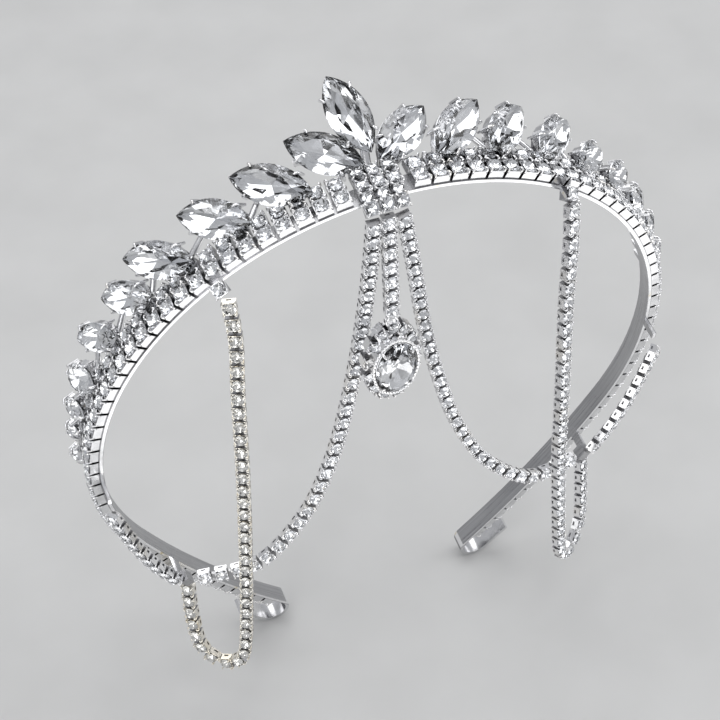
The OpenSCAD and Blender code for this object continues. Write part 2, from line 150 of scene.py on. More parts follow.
# Drop, and the rings that carry it
STRAND = (-2.3, -4.4)
RING_RADIUS = 1.2
RING_WIRE = 0.3
LINK_RING_HEIGHT = -29.3
DROP_RING_HEIGHT = -30.95
DROP_MIDDLE = (STRAND[0] - 0.5, STRAND[1] + 1.5, -41.45)
DROP_TURN = math.radians(2)
DROP_LEAN = math.radians(4)
DROP_RISE = 4.4
DROP_BACK = -0.4
HALO_COUNT = 13
HALO_AXES = (5.3, 9.0)
HALO_SIDE = 2.5
HALO_TOP = 1.8
HALO_STONE = 1.2
HALO_PLATE_MARGIN = 0.6
HALO_PLATE_TOP = 0.5
COLLAR = (5.3, 7.4)
COLLAR_WALL = 0.4
COLLAR_FOOT = 0.3
COLLAR_TOP = DROP_RISE - 0.1
BEAD_COUNT = 44
BEAD_RADIUS = 0.36
BEAD_INSET = 0.1
BEAD_HEIGHT = DROP_RISE - 0.25

# Looks of the band: heights that part its regions, how much of a normal points along the band
# where cups face each other and get painted shade, and the scales of the streaks across and round
# the inner face
INNER_SKIN = 0.12
SEAM = 0.14
CUPS_LOW = STRIP_THICKNESS - 0.05
CUPS_HIGH = BLOCK_TOP + 0.1
ALONG = 0.85
STREAKS_ACROSS = 2600.0
STREAKS_AROUND = 3.0

# Camera, from the photo's perspective
CAMERA_PLACE = (-101.1, -270.0, 233.7)
CAMERA_FORWARD = (0.2335, 0.6784, -0.6966)
CAMERA_UP = (0.2765, 0.6406, 0.7164)
CAMERA_LENS = 93.9
CAMERA_SENSOR = 36

# Floor, the card that lies on it, and the point that the other lights look at
FLOOR_HEIGHT = -147.2
FLOOR_HALF = 4000
CARD_MIDDLE = (20, -165)
CARD_RISE = 0.4
LIGHT_TARGET = (0, 0, -65)

# Kinds of face material; the last is painted shade, a dark metal on faces between parts
METAL, CRYSTAL, FOIL, PAINTED_SHADE = 0, 1, 2, 3


# Placing


def moved(x, y, z):
    m = np.eye(4)
    m[:3, 3] = (x, y, z)
    return m


def turned(axis, angle):
    """Turn about one of the axes x, y, z, by the right-hand rule."""
    m = np.eye(4)
    a, b = [(1, 2), (2, 0), (0, 1)]["xyz".index(axis)]
    m[a, a] = m[b, b] = math.cos(angle)
    m[b, a], m[a, b] = math.sin(angle), -math.sin(angle)
    return m


def axes(x, y, z, at):
    m = np.eye(4)
    m[:3, 0], m[:3, 1], m[:3, 2], m[:3, 3] = x, y, z, at
    return m


def point_of(m, x, y, z):
    """Point of a frame, in the coordinates round it."""
    return (m @ np.array([x, y, z, 1]))[:3]


def on_band(place):
    """Frame on the inner face of the band: x along it to the right, y to the back, z outwards."""
    along = min(max(place, -ARCH_LENGTH), ARCH_LENGTH)
    m = turned("x", BAND_LEAN) @ moved(0, 0, -ARCH_RADIUS) @ turned("y", along / ARCH_RADIUS)
    if abs(place) > ARCH_LENGTH:
        m = m @ moved(0, 0, ARCH_RADIUS - LEG_RADIUS) @ turned("y", (place - along) / LEG_RADIUS)
        return m @ moved(0, 0, LEG_RADIUS)
    return m @ moved(0, 0, ARCH_RADIUS)


def set_by_hand(at, rng, spin_limit, tilt_limit):
    """Seat of a stone that is a little spun and tilted."""
    spin = rng.uniform(-spin_limit, spin_limit)
    tilt_x, tilt_y = (rng.uniform(-tilt_limit, tilt_limit) for _ in range(2))
    return at @ (turned("x", tilt_x) @ turned("y", tilt_y)) @ turned("z", spin)


# Shapes: points, faces, and each face's kind of material and smoothness


def shape(points, faces, kind, smooth=False):
    return points, faces, [kind] * len(faces), [smooth] * len(faces)


def joined(*shapes):
    points, faces, kinds, smooth, count = [], [], [], [], 0
    for p, f, k, s in shapes:
        points.append(np.asarray(p, float))
        faces += [[i + count for i in face] for face in f]
        kinds += k
        smooth += s
        count += len(p)
    return np.vstack(points), faces, kinds, smooth


def placed(one, m):
    points, faces, kinds, smooth = one
    return np.asarray(points, float) @ m[:3, :3].T + m[:3, 3], faces, kinds, smooth


class Faces:
    """Shapes of one piece, in millimetres."""

    def __init__(self):
        self.shapes = []

    def add(self, one, place=None):
        self.shapes.append(one if place is None else placed(one, place))

    def piece(self, name, body, materials, slot):
        points, faces, kinds, smooth = joined(*self.shapes)
        mesh = bpy.data.meshes.new(name)
        mesh.from_pydata((points * MM).tolist(), [], faces)
        for m in materials:
            mesh.materials.append(m)
        mesh.polygons.foreach_set("material_index", kinds)
        mesh.polygons.foreach_set("use_smooth", smooth)
        mesh.update()
        piece = bpy.data.objects.new(name, mesh)
        bpy.context.scene.collection.objects.link(piece)
        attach(piece, body)
        return piece


# Plain shapes


def square(half):
    return [(-half, -half), (half, -half), (half, half), (-half, half)]


def oval(half, grow=0.0, count=48):
    """Outline of an oval by its half axes, each made longer by the same amount."""
    a = 2 * math.pi * np.arange(count) / count
    return np.stack([(half[0] + grow) * np.cos(a), (half[1] + grow) * np.sin(a)], 1)


def box(low, high, kind=METAL):
    x0, y0, z0 = low
    x1, y1, z1 = high
    points = [(x, y, z) for z in (z0, z1) for y in (y0, y1) for x in (x0, x1)]
    faces = [(0, 2, 3, 1), (4, 5, 7, 6), (0, 1, 5, 4), (1, 3, 7, 5), (3, 2, 6, 7), (2, 0, 4, 6)]
    return shape(points, faces, kind)


def plate(outline, low, high):
    n = len(outline)
    points = [(*p, low) for p in outline] + [(*p, high) for p in outline]
    faces = [tuple(range(n - 1, -1, -1)), tuple(range(n, 2 * n))]
    faces += [(i, (i + 1) % n, n + (i + 1) % n, n + i) for i in range(n)]
    return shape(points, faces, METAL)


def wall(outer, inner, low, high):
    """Upright wall between two outlines with the same number of corners."""
    n = len(outer)
    points = [(*p, low) for p in outer] + [(*p, high) for p in outer]
    points += [(*p, low) for p in inner] + [(*p, high) for p in inner]
    faces = []
    for i in range(n):
        k = (i + 1) % n
        faces.append((i, k, n + k, n + i))
        faces.append((2 * n + k, 2 * n + i, 3 * n + i, 3 * n + k))
        faces.append((n + i, n + k, 3 * n + k, 3 * n + i))
        faces.append((k, i, 2 * n + i, 2 * n + k))
    return shape(points, faces, METAL)


def sweep(path, radii, sides, normal, flat=1.0):
    """Wire along a path with a radius at each point, flattened along its normal, with both ends
    closed."""
    path = np.asarray(path, float)
    ways = np.gradient(path, axis=0)
    ways /= np.linalg.norm(ways, axis=1)[:, None]
    side = np.asarray(normal, float)
    points, faces = [], []
    for p, w, r in zip(path, ways, radii):
        side = side - (side @ w) * w
        side /= np.linalg.norm(side)
        other = np.cross(w, side)
        for i in range(sides):
            a = 2 * math.pi * i / sides
            points.append(p + r * (math.cos(a) * side * flat + math.sin(a) * other))
    rings = len(path)
    for j in range(rings - 1):
        for i in range(sides):
            k = (i + 1) % sides
            faces.append((j * sides + i, j * sides + k, (j + 1) * sides + k, (j + 1) * sides + i))
    faces.append(tuple(range(sides - 1, -1, -1)))
    faces.append(tuple((rings - 1) * sides + i for i in range(sides)))
    return shape(points, faces, METAL, True)


def ring(turns=32, sides=12):
    """Closed wire ring about z, as the strand and the drop have."""
    points, faces = [], []
    for j in range(turns):
        a = 2 * math.pi * j / turns
        for i in range(sides):
            b = 2 * math.pi * i / sides
            r = RING_RADIUS + RING_WIRE * math.cos(b)
            points.append((r * math.cos(a), r * math.sin(a), RING_WIRE * math.sin(b)))
    for j in range(turns):
        for i in range(sides):
            a, b = j * sides, (j + 1) % turns * sides
            k = (i + 1) % sides
            faces.append((a + i, b + i, b + k, a + k))
    return shape(points, faces, METAL, True)


def bead(sides=8, rows=5):
    """Small ball."""
    points = [(0, 0, -BEAD_RADIUS)]
    for j in range(1, rows):
        b = math.pi * j / rows
        r = BEAD_RADIUS * math.sin(b)
        for i in range(sides):
            a = 2 * math.pi * i / sides
            points.append((r * math.cos(a), r * math.sin(a), -BEAD_RADIUS * math.cos(b)))
    points.append((0, 0, BEAD_RADIUS))
    faces = []
    top = 1 + (rows - 2) * sides
    for i in range(sides):
        k = (i + 1) % sides
        faces.append((0, 1 + k, 1 + i))
        for a in range(1, top, sides):
            faces.append((a + i, a + k, a + sides + k, a + sides + i))
        faces.append((top + i, top + k, top + sides))
    return shape(points, faces, METAL, True)


# Cut stones


def outline_of(length, width, count):
    """Outline and its directions: two arcs that meet in points for a long stone, else an oval."""
    if length > POINTED_RATIO * width:
        radius = (length**2 + width**2) / (4 * width)
        half = math.asin(length / (2 * radius))
        t = -half + 2 * half * np.arange(count // 2) / (count // 2)
        side = np.stack([-radius * np.sin(t), radius * np.cos(t) - radius + width / 2], 1)
        way = np.stack([-np.cos(t), -np.sin(t)], 1)
        way[0] = (0, 1)
        return np.vstack([side, -side]), np.vstack([way, -way])
    a = 2 * math.pi * np.arange(count) / count
    points = np.stack([length / 2 * np.cos(a), width / 2 * np.sin(a)], 1)
    ways = np.stack([-length / 2 * np.sin(a), width / 2 * np.cos(a)], 1)
    return points, ways / np.linalg.norm(ways, axis=1)[:, None]


def level_cut(planes, k, height):
    """Point at a height where the facet planes k and k + 1 meet."""
    (n0, d0), (n1, d1) = planes[k], planes[(k + 1) % len(planes)]
    a = np.array([n0, n1, (0, 0, 1.0)])
    return np.linalg.solve(a, np.array([d0, d1, height]))


def cut_stone(length, width, lift, depth, between=4, table=0.56, girdle=0.15):
    """Stone with its girdle at z = 0: a table, stars, kites and halves on the crown, and a foiled
    pavilion. The rim has the given number of corners from main to main."""
    count = MAINS * between
    rim, ways = outline_of(length, width, count)
    top = [np.array([*p, girdle]) for p in rim]
    bottom = [np.array([*p, -girdle]) for p in rim]
    corners = [np.array([*(p * table), lift]) for p in rim[::between]]
    culet = np.array([0, 0, -depth])

    def planes(edge, peaks):
        out = []
        for way, foot, peak in zip(ways[::between], edge[::between], peaks):
            n = np.cross([*way, 0], peak - foot)
            out.append((n, n @ foot))
        return out

    crown = planes(top, corners)
    pavilion = planes(bottom, [culet] * MAINS)
    star_height = girdle + (lift - girdle) * STAR_LEVEL
    main_height = -girdle - (depth - girdle) * MAIN_LEVEL
    stars = [level_cut(crown, k, star_height) for k in range(MAINS)]
    lows = [level_cut(pavilion, k, main_height) for k in range(MAINS)]
    points = np.array([*top, *bottom, *corners, *stars, *lows, culet])
    table_0, star_0, low_0, culet_0 = (2 * count + i * MAINS for i in range(4))
    faces, kinds = [tuple(table_0 + k for k in range(MAINS))], [CRYSTAL]

    def add(face, kind):
        faces.append(face)
        kinds.append(kind)

    for k in range(MAINS):
        after, before = (k + 1) % MAINS, (k - 1) % MAINS
        add((table_0 + k, star_0 + k, table_0 + after), CRYSTAL)
        add((table_0 + k, star_0 + before, k * between, star_0 + k), CRYSTAL)
        add((culet_0, low_0 + k, count + k * between, low_0 + before), FOIL)
        for j in range(between):
            a = k * between + j
            b = (a + 1) % count
            add((star_0 + k, a, b), CRYSTAL)
            add((low_0 + k, count + b, count + a), FOIL)
            add((a, count + a, count + b, b), CRYSTAL)
    return points, faces, kinds, [False] * len(faces)


def small_stone(radius, height, depth):
    return cut_stone(2 * radius, 2 * radius, height, depth, between=2, table=0.55, girdle=0.05)


# Claws and cups


def prong(side, low, high, reach, thick, corner):
    """Claw at one corner of a square cup: it stands at the corner and bends in over the stone."""
    out = (side - thick) / 2
    path = [
        (out, out, low),
        (out + 0.02, out + 0.02, (low + high) / 2),
        (out, out, high - 0.22),
        (out - 0.12, out - 0.12, high - 0.04),
        (out - reach * 0.55, out - reach * 0.55, high),
        (out - reach, out - reach, high - 0.16),
    ]
    radii = [thick * part for part in (1, 1, 0.95, 0.9, 0.8, 0.5)]
    return placed(sweep(path, radii, 6, normal=(1, -1, 0)), turned("z", corner))


def four_prongs(side, low, high, reach, thick):
    return joined(*[prong(side, low, high, reach, thick, math.pi / 2 * i) for i in range(4)])


def claw(reach):
    """Bent tip of one claw: it rises beside the girdle and lies down on the crown, towards -x."""
    path = [(reach + out, 0, height) for out, height, _ in CLAW_TIP]
    radii = [radius for _, _, radius in CLAW_TIP]
    return sweep(path, radii, 8, normal=(1, 0, 0), flat=0.8)


def claws(length, width, reach):
    """Four claws round a large stone, whose wires stand at a reach from its rim."""
    rim, _ = outline_of(length, width, PACKED_CORNERS)
    tips = []
    for x, y in rim[list(CLAW_CORNERS)]:
        tips.append(placed(claw(math.hypot(x, y) + reach), turned("z", math.atan2(y, x))))
    return joined(*tips)


def with_painted_shade(one, ways=(-1, 1)):
    """Gives the flat metal faces along x, which look at a neighbour, painted shade in dark metal.
    """
    points, faces, kinds, smooth = one
    points = np.asarray(points, float)
    out = []
    for face, kind, soft in zip(faces, kinds, smooth):
        a, b, c = points[face[0]], points[face[1]], points[face[2]]
        n = np.cross(b - a, c - a)
        sideways = any(n[0] * way > 0.9 * np.linalg.norm(n) for way in ways)
        out.append(PAINTED_SHADE if kind == METAL and not soft and sideways else kind)
    return points, faces, out, smooth


def cup_stone(side, radius, rng, closed=True):
    """Stone and claws of a square cup whose rim is at z = 0. On a closed cup the stone sits
    higher."""
    lift, depth = ON_CLOSED_CUP if closed else IN_OPEN_CUP
    at = set_by_hand(moved(0, 0, lift), rng, CUP_STONE_SPIN, CUP_STONE_TILT)
    stone = placed(small_stone(radius, CUP_STONE_CROWN, depth), at)
    return joined(stone, four_prongs(side, low=-0.5, high=0.6 + lift, reach=0.6, thick=0.22))


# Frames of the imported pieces


def packed_mesh(node):
    """Corner points in millimetres, without doubles, and the triangles of a node."""
    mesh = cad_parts[node].data
    mesh.calc_loop_triangles()
    co = np.array([v.co for v in mesh.vertices], float) / MM
    tri = np.array([t.vertices for t in mesh.loop_triangles])
    points, index = np.unique(np.round(co, 4), axis=0, return_inverse=True)
    return points, index.reshape(-1)[tri]


def islands(points, tri):
    """Triangles of each loose solid."""
    label = np.arange(len(points))
    while True:
        low = label[tri].min(1)
        new = label.copy()
        np.minimum.at(new, tri.reshape(-1), np.repeat(low, 3))
        if (new == label).all():
            break
        label = new
    return [tri[label[tri[:, 0]] == i] for i in np.unique(label[tri[:, 0]])]


def flats(points, tri):
    """Normal and area of each flat face, largest first."""
    a, b, c = points[tri[:, 0]], points[tri[:, 1]], points[tri[:, 2]]
    n = np.cross(b - a, c - a)
    area = np.linalg.norm(n, axis=1) / 2
    n = n / np.maximum(np.linalg.norm(n, axis=1), 1e-9)[:, None]
    found = []
    for way, size in zip(n, area):
        for f in found:
            if f[0] @ way > SAME_WAY:
                f[1] += size
                break
        else:
            found.append([way, size])
    return sorted(found, key=lambda f: -f[1])


def cup_frames(node):
    """Frames of a chain's cups: x to the next cup, z out of the stone, origin in the middle."""
    points, tri = packed_mesh(node)
    least, most = SLOPE_AREA
    near, far = PACKED_LINK_REACH
    out = []
    for t in islands(points, tri):
        z = np.sum([way for way, size in flats(points, t) if least < size < most], axis=0)
        z /= np.linalg.norm(z)
        own = points[np.unique(t)]
        heights = own @ z
        if node == "centre_strand":
            own = own[heights > heights.max() - PACKED_CUP_HEIGHT]
            heights = own @ z
        top = own[heights > heights.max() - PACKED_TOP_SLACK]
        middle = top.mean(0) - PACKED_CUP_TOP * z
        flat = (own - middle) - np.outer((own - middle) @ z, z)
        reach = np.linalg.norm(flat, axis=1)
        low = (own - middle) @ z < PACKED_LINK_TOP
        x = flat[low & (reach > near) & (reach < far)].mean(0)
        x /= np.linalg.norm(x)
        out.append(axes(x, np.cross(z, x), z, middle))
    return out


def stone_frame(node):
    """Frame, length, width, crown and pavilion of a packed stone: x along it, z out of its
    table."""
    points, tri = packed_mesh(node)
    z = flats(points, tri)[0][0]
    heights = points @ z
    levels = np.unique(np.round(heights - heights.min(), 2))
    depth = (levels[1] + levels[2]) / 2
    rim = points[np.abs(heights - heights.min() - depth) < GIRDLE_SLACK]
    middle = points[heights.argmin()] + depth * z
    flat = rim - middle
    flat -= np.outer(flat @ z, z)
    x = flat[np.linalg.norm(flat, axis=1).argmax()]
    x /= np.linalg.norm(x)
    y = np.cross(z, x)
    length, width = np.ptp(flat @ x), np.ptp(flat @ y)
    return axes(x, y, z, middle), length, width, levels[-1] - depth, depth


# Nodes of the materials


def nodes_of(name):
    """New material, its tree, its shader and the outputs of its coordinates."""
    m = bpy.data.materials.new(name)
    m.use_nodes = True
    tree = m.node_tree
    tree.nodes.clear()
    out = tree.nodes.new("ShaderNodeOutputMaterial")
    shader = tree.nodes.new("ShaderNodeBsdfPrincipled")
    tree.links.new(shader.outputs[0], out.inputs[0])
    return m, tree, shader, tree.nodes.new("ShaderNodeTexCoord").outputs


def fill(tree, node, inputs):
    """Links sockets to the inputs of a node, and sets the other inputs to numbers or colours."""
    for key, value in inputs.items():
        if isinstance(value, bpy.types.NodeSocket):
            tree.links.new(value, node.inputs[key])
        elif isinstance(value, tuple):
            node.inputs[key].default_value = (*value, 1)
        else:
            node.inputs[key].default_value = value


def calc(tree, operation, *values):
    """Math node on sockets or numbers."""
    n = tree.nodes.new("ShaderNodeMath")
    n.operation = operation
    fill(tree, n, dict(enumerate(values)))
    return n.outputs[0]


def noise(tree, where, scale, detail):
    n = tree.nodes.new("ShaderNodeTexNoise")
    fill(tree, n, {"Vector": where, "Scale": scale, "Detail": detail})
    return n.outputs["Fac"]


def mottle(tree, where, scale, low, high, start=0.3, end=0.7, detail=3.0):
    """Noise brought to a range: it is low up to the value start and high from the value end."""
    n = tree.nodes.new("ShaderNodeMapRange")
    value = noise(tree, where, scale, detail)
    inputs = {"Value": value, "From Min": start, "From Max": end, "To Min": low, "To Max": high}
    fill(tree, n, inputs)
    return n.outputs["Result"]


def blend(tree, factor, a, b):
    """Colour from a at factor 0 to b at factor 1."""
    n = tree.nodes.new("ShaderNodeMix")
    n.data_type = "RGBA"
    fill(tree, n, {"Factor": factor, "A": a, "B": b})
    return n.outputs["Result"]


def ripples(tree, where, scale, detail, strength, depth):
    """Normal of a surface with small waves."""
    n = tree.nodes.new("ShaderNodeBump")
    height = noise(tree, where, scale, detail)
    fill(tree, n, {"Height": height, "Strength": strength, "Distance": depth * MM})
    return n.outputs["Normal"]


def upright(tree, vector):
    """Components of a vector in the frame of the band without its lean."""
    turn = tree.nodes.new("ShaderNodeVectorRotate")
    turn.rotation_type = "X_AXIS"
    fill(tree, turn, {"Angle": -BAND_LEAN, "Vector": vector})
    parts = tree.nodes.new("ShaderNodeSeparateXYZ")
    fill(tree, parts, {0: turn.outputs[0]})
    return parts.outputs


def distance(tree, a, b):
    """Length of the vector with the components a and b."""
    squares = [calc(tree, "MULTIPLY", v, v) for v in (a, b)]
    return calc(tree, "SQRT", calc(tree, "ADD", *squares))


# Materials


def silver(name, tone=(0.90, 0.90, 0.91), warm=(0.86, 0.80, 0.68), rough=(0.10, 0.24), warmth=0.35):
    """Bright plated metal with small ripples, uneven polish and faint warm patches."""
    m, tree, shader, space = nodes_of(name)
    where = space["Object"]
    patches = mottle(tree, where, 130, 0, warmth, start=0.5, end=0.75)
    fill(tree, shader, {
        "Base Color": blend(tree, patches, tone, warm),
        "Roughness": mottle(tree, where, 420, *rough),
        "Normal": ripples(tree, where, 900, 2.0, strength=0.25, depth=0.04),
        "Metallic": 1.0,
    })
    return m


def height_over_inner_face(tree, x, up, arch):
    """Height over the inner face of the strip, measured from the middle of the arch or of a leg."""
    offset = (LEG_RADIUS - ARCH_RADIUS) * MM
    leg_x = calc(tree, "ADD", calc(tree, "ABSOLUTE", x), offset * math.sin(ARCH_TURN))
    leg_z = calc(tree, "ADD", up, offset * math.cos(ARCH_TURN))
    leg = calc(tree, "SUBTRACT", distance(tree, leg_x, leg_z), offset)
    on_leg = calc(tree, "LESS_THAN", up, ARCH_RADIUS * MM * math.cos(ARCH_TURN))
    step = calc(tree, "MULTIPLY", on_leg, calc(tree, "SUBTRACT", leg, arch))
    return calc(tree, "SUBTRACT", calc(tree, "ADD", arch, step), ARCH_RADIUS * MM)


def brushing(tree, x, y, up):
    """Streaks along the strip: noise that is drawn out round the arch."""
    streak = tree.nodes.new("ShaderNodeCombineXYZ")
    around = calc(tree, "MULTIPLY", calc(tree, "ARCTAN2", x, up), STREAKS_AROUND)
    fill(tree, streak, {"X": around, "Y": calc(tree, "MULTIPLY", y, STREAKS_ACROSS)})
    return mottle(tree, streak.outputs[0], 1.0, 0, 1, start=0.25, end=0.75, detail=4.0)


def band_silver():
    """Silver of the band: duller cups with painted shade where they face each other, a brushed
    inner face, painted warm glints on the strip's edges and a dark seam between the strip and the
    cups."""
    m, tree, shader, space = nodes_of("band_silver")
    where = space["Object"]
    x, y, z = upright(tree, where)
    nx, _, nz = upright(tree, space["Normal"])
    up = calc(tree, "ADD", z, ARCH_RADIUS * MM)
    arch = distance(tree, x, up)
    height = height_over_inner_face(tree, x, up, arch)

    over_strip = calc(tree, "GREATER_THAN", height, CUPS_LOW * MM)
    below_rims = calc(tree, "LESS_THAN", height, CUPS_HIGH * MM)
    cross = calc(tree, "SUBTRACT", calc(tree, "MULTIPLY", nx, up), calc(tree, "MULTIPLY", nz, x))
    along = calc(tree, "DIVIDE", calc(tree, "ABSOLUTE", cross), arch)
    sideways = calc(tree, "GREATER_THAN", along, ALONG)
    # Painted shade on the cup faces that look along the band at a neighbour
    painted_gap_shade = calc(tree, "MULTIPLY", calc(tree, "MULTIPLY", over_strip, below_rims), sideways)
    inner = calc(tree, "LESS_THAN", height, INNER_SKIN * MM)
    seam = calc(tree, "COMPARE", height, STRIP_THICKNESS * MM, SEAM * MM)
    in_strip = calc(tree, "LESS_THAN", height, STRIP_THICKNESS * MM)
    on_edge = calc(tree, "SUBTRACT", in_strip, inner)

    streaks = brushing(tree, x, y, up)
    # Painted warm glints: gold-toned specks on the strip's edges
    painted_glints = calc(tree, "MULTIPLY", mottle(tree, where, 300, 0, 0.9, start=0.62, end=0.72), on_edge)
    plain = blend(tree, painted_glints, (0.93, 0.93, 0.94), (0.80, 0.70, 0.48))
    cups = blend(tree, mottle(tree, where, 240, 0, 1), (0.86, 0.86, 0.87), (0.66, 0.66, 0.67))
    brushed = blend(tree, streaks, (0.30, 0.30, 0.31), (0.54, 0.54, 0.55))
    colour = blend(tree, over_strip, plain, cups)
    colour = blend(tree, inner, colour, brushed)
    colour = blend(tree, seam, colour, (0.42, 0.42, 0.43))
    # Painted shade darkens the cups where they face each other
    colour = blend(tree, painted_gap_shade, colour, (0.2, 0.2, 0.21))
    dull = calc(tree, "MULTIPLY", inner, calc(tree, "MULTIPLY", streaks, 0.3))
    fill(tree, shader, {
        "Base Color": colour,
        "Roughness": calc(tree, "ADD", mottle(tree, where, 420, 0.14, 0.28), dull),
        "Normal": ripples(tree, where, 900, 2.0, strength=0.3, depth=0.04),
        "Metallic": 1.0,
    })
    return m


def crystal(name, tint=(1.0, 1.0, 1.0)):
    """Clear cut glass with the faint unevenness of moulded facets."""
    m, tree, shader, space = nodes_of(name)
    where = space["Object"]
    pale = tuple(0.94 * c for c in tint)
    shade = mottle(tree, where, 220, 0, 0.5, detail=1.0)
    fill(tree, shader, {
        "Base Color": blend(tree, shade, tint, pale),
        "Normal": ripples(tree, where, 350, 1.0, strength=0.04, depth=0.1),
        "Roughness": 0.0,
        "IOR": 1.52,
        "Transmission Weight": 1.0,
    })
    return m


def foil(name, tone):
    """Silvered back of a stone."""
    m, tree, shader, space = nodes_of(name)
    where = space["Object"]
    darker = tuple(0.84 * c for c in tone)
    fill(tree, shader, {
        "Base Color": blend(tree, mottle(tree, where, 260, 0, 1), tone, darker),
        "Roughness": mottle(tree, where, 500, 0.03, 0.08),
        "Metallic": 1.0,
    })
    return m


METAL_FINISH = silver("bright_silver")
WARM_FINISH = silver(
    "champagne_silver", (0.90, 0.87, 0.80), (0.86, 0.76, 0.58), rough=(0.12, 0.26), warmth=0.8
)
GLASS = crystal("clear_crystal")
WARM_GLASS = crystal("champagne_crystal", (1.0, 0.975, 0.91))
BACKING = foil("foil_back", (0.93, 0.94, 0.96))
# Dark silver that paints shade on faces that look at a neighbour and inside the chain cups
PAINTED_SHADE_METAL = silver("painted_shade_silver", (0.24, 0.24, 0.25), (0.28, 0.25, 0.20), rough=(0.3, 0.5))
BAND_FINISH = band_silver()

# The order of metal, crystal, foil and painted shade
USUAL = [METAL_FINISH, GLASS, BACKING, PAINTED_SHADE_METAL]
CHAMPAGNE = [WARM_FINISH, WARM_GLASS, BACKING, PAINTED_SHADE_METAL]


# Large stones


def large_stone(node):
    place, length, width, lift, depth = stone_frame(node)
    faces = Faces()
    faces.add(cut_stone(length, width, lift, depth), place)
    piece = faces.piece("cut_" + node, "headband", USUAL, "crystal")
    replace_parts(piece, node)
    return place, length, width


def stone_claws(stones):
    faces = Faces()
    for place, length, width in stones:
        faces.add(claws(length, width, CLAW_REACH), place)
    faces.piece("stone_claws", "headband", USUAL, "metal")


# Rows and middle block of the band


def in_block(place):
    return abs(place - GROUP_SHIFT) < BLOCK_COLUMNS * BLOCK_COLUMN / 2 + BLOCK_MARGIN


def row(name, offset, drop, counts, rng):
    faces = Faces()
    for side, count in counts.items():
        for i in range(count):
            place = side * (i + 0.5) * CUP_PITCH
            if not in_block(place):
                at = on_band(place) @ moved(0, offset, CUP_TOP - drop)
                faces.add(cup_stone(CUP_SIDE, ROW_STONE, rng, closed=drop > 0), at)
    faces.piece(name, "headband", USUAL, "crystal")


def slope_place(place):
    """Seat on the front of the middle block, between its rows and the cups under the edge."""
    return on_band(place) @ moved(*SLOPE_SEAT) @ turned("x", SLOPE_TILT)


def edge_place(place):
    """Rim of a cup that is turned down over the front edge."""
    at = on_band(place) @ moved(*EDGE_CUP_SEAT)
    return at @ turned("x", EDGE_CUP_TILT) @ moved(*EDGE_CUP_RIM)


def block_stones(rng):
    """Stones of the middle block and of all cups at the front edge."""
    faces = Faces()
    for i in range(BLOCK_COLUMNS):
        place = GROUP_SHIFT + (i - (BLOCK_COLUMNS - 1) / 2) * BLOCK_COLUMN
        for y in BLOCK_ROWS:
            at = on_band(place) @ moved(0, y, BLOCK_TOP)
            faces.add(cup_stone(CHAIN_SIDE, BLOCK_STONE, rng), at)
        faces.add(cup_stone(CHAIN_SIDE, BLOCK_STONE, rng), edge_place(place))
        faces.add(cup_stone(CHAIN_SIDE, SLOPE_STONE, rng), slope_place(place))
    for place in EDGE_CUP_PLACES:
        faces.add(cup_stone(CHAIN_SIDE, BLOCK_STONE, rng), edge_place(place))
    faces.piece("block_stones", "headband", USUAL, "crystal")


# Chains


def chain_cup(rng, ways):
    """Cup of a chain: a square box with a slot low in each wall, four claws and a stone. Its
    sides towards a neighbour get painted shade, and a dark block inside is painted shade for the
    slots."""
    half = CHAIN_SIDE / 2
    inner = half - CHAIN_WALL
    shade_block = inner - CHAIN_SHADE_BLOCK_GAP
    corner = box((CHAIN_SLOT, CHAIN_SLOT, CHAIN_SLOT_LOW), (half, half, CHAIN_SLOT_HIGH))
    stone = small_stone(CHAIN_STONE, CHAIN_STONE_CROWN, CHAIN_STONE_DEPTH)
    seat = moved(0, 0, CHAIN_STONE_LIFT)
    tips = four_prongs(CHAIN_SIDE, low=-0.4, high=0.72, reach=0.5, thick=0.2)
    cup = joined(
        plate(square(half), CHAIN_BACK, CHAIN_SLOT_LOW),
        wall(square(half), square(inner), CHAIN_SLOT_HIGH, CHAIN_WALL_TOP),
        *[placed(corner, turned("z", math.pi / 2 * i)) for i in range(4)],
        placed(stone, set_by_hand(seat, rng, CHAIN_STONE_SPIN, CHAIN_STONE_TILT)),
        # Dark block inside the cup: painted shade that the slots show
        box((-shade_block, -shade_block, CHAIN_SHADE_BLOCK_LOW), (shade_block, shade_block, CHAIN_SHADE_BLOCK_HIGH), PAINTED_SHADE),
        placed(tips, moved(0, 0, CHAIN_WALL_TOP)),
    )
    # Painted shade on the sides that face a neighbour
    return with_painted_shade(cup, ways)


def link(a, b):
    """Flat link between the backs of two cups."""
    start = point_of(a, LINK_END, 0, LINK_HEIGHT)
    end = point_of(b, -LINK_END, 0, LINK_HEIGHT)
    path = [start, (start * 2 + end) / 3, (start + end * 2) / 3, end]
    return sweep(path, [LINK_RADIUS] * 4, 8, normal=a[:3, 2], flat=LINK_FLATNESS)


def chain(name, node, materials, rng):
    faces = Faces()
    cups = cup_frames(node)
    for cup in cups:
        others = [c for c in cups if c is not cup]
        ways = []
        for way in (-1, 1):
            ahead = point_of(cup, way * CUP_PITCH, 0, 0)
            near = min(others, key=lambda c: np.linalg.norm(c[:3, 3] - ahead))
            if np.linalg.norm(near[:3, 3] - ahead) < NEIGHBOUR_REACH:
                ways.append(way)
                if way > 0:
                    faces.add(link(cup, near))
        faces.add(chain_cup(rng, ways), cup)
    if node == "centre_strand":
        faces.add(ring(), moved(*STRAND, LINK_RING_HEIGHT) @ turned("y", math.pi / 2))
    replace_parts(faces.piece(name, "headband", materials, "chain"), node)


# Drop


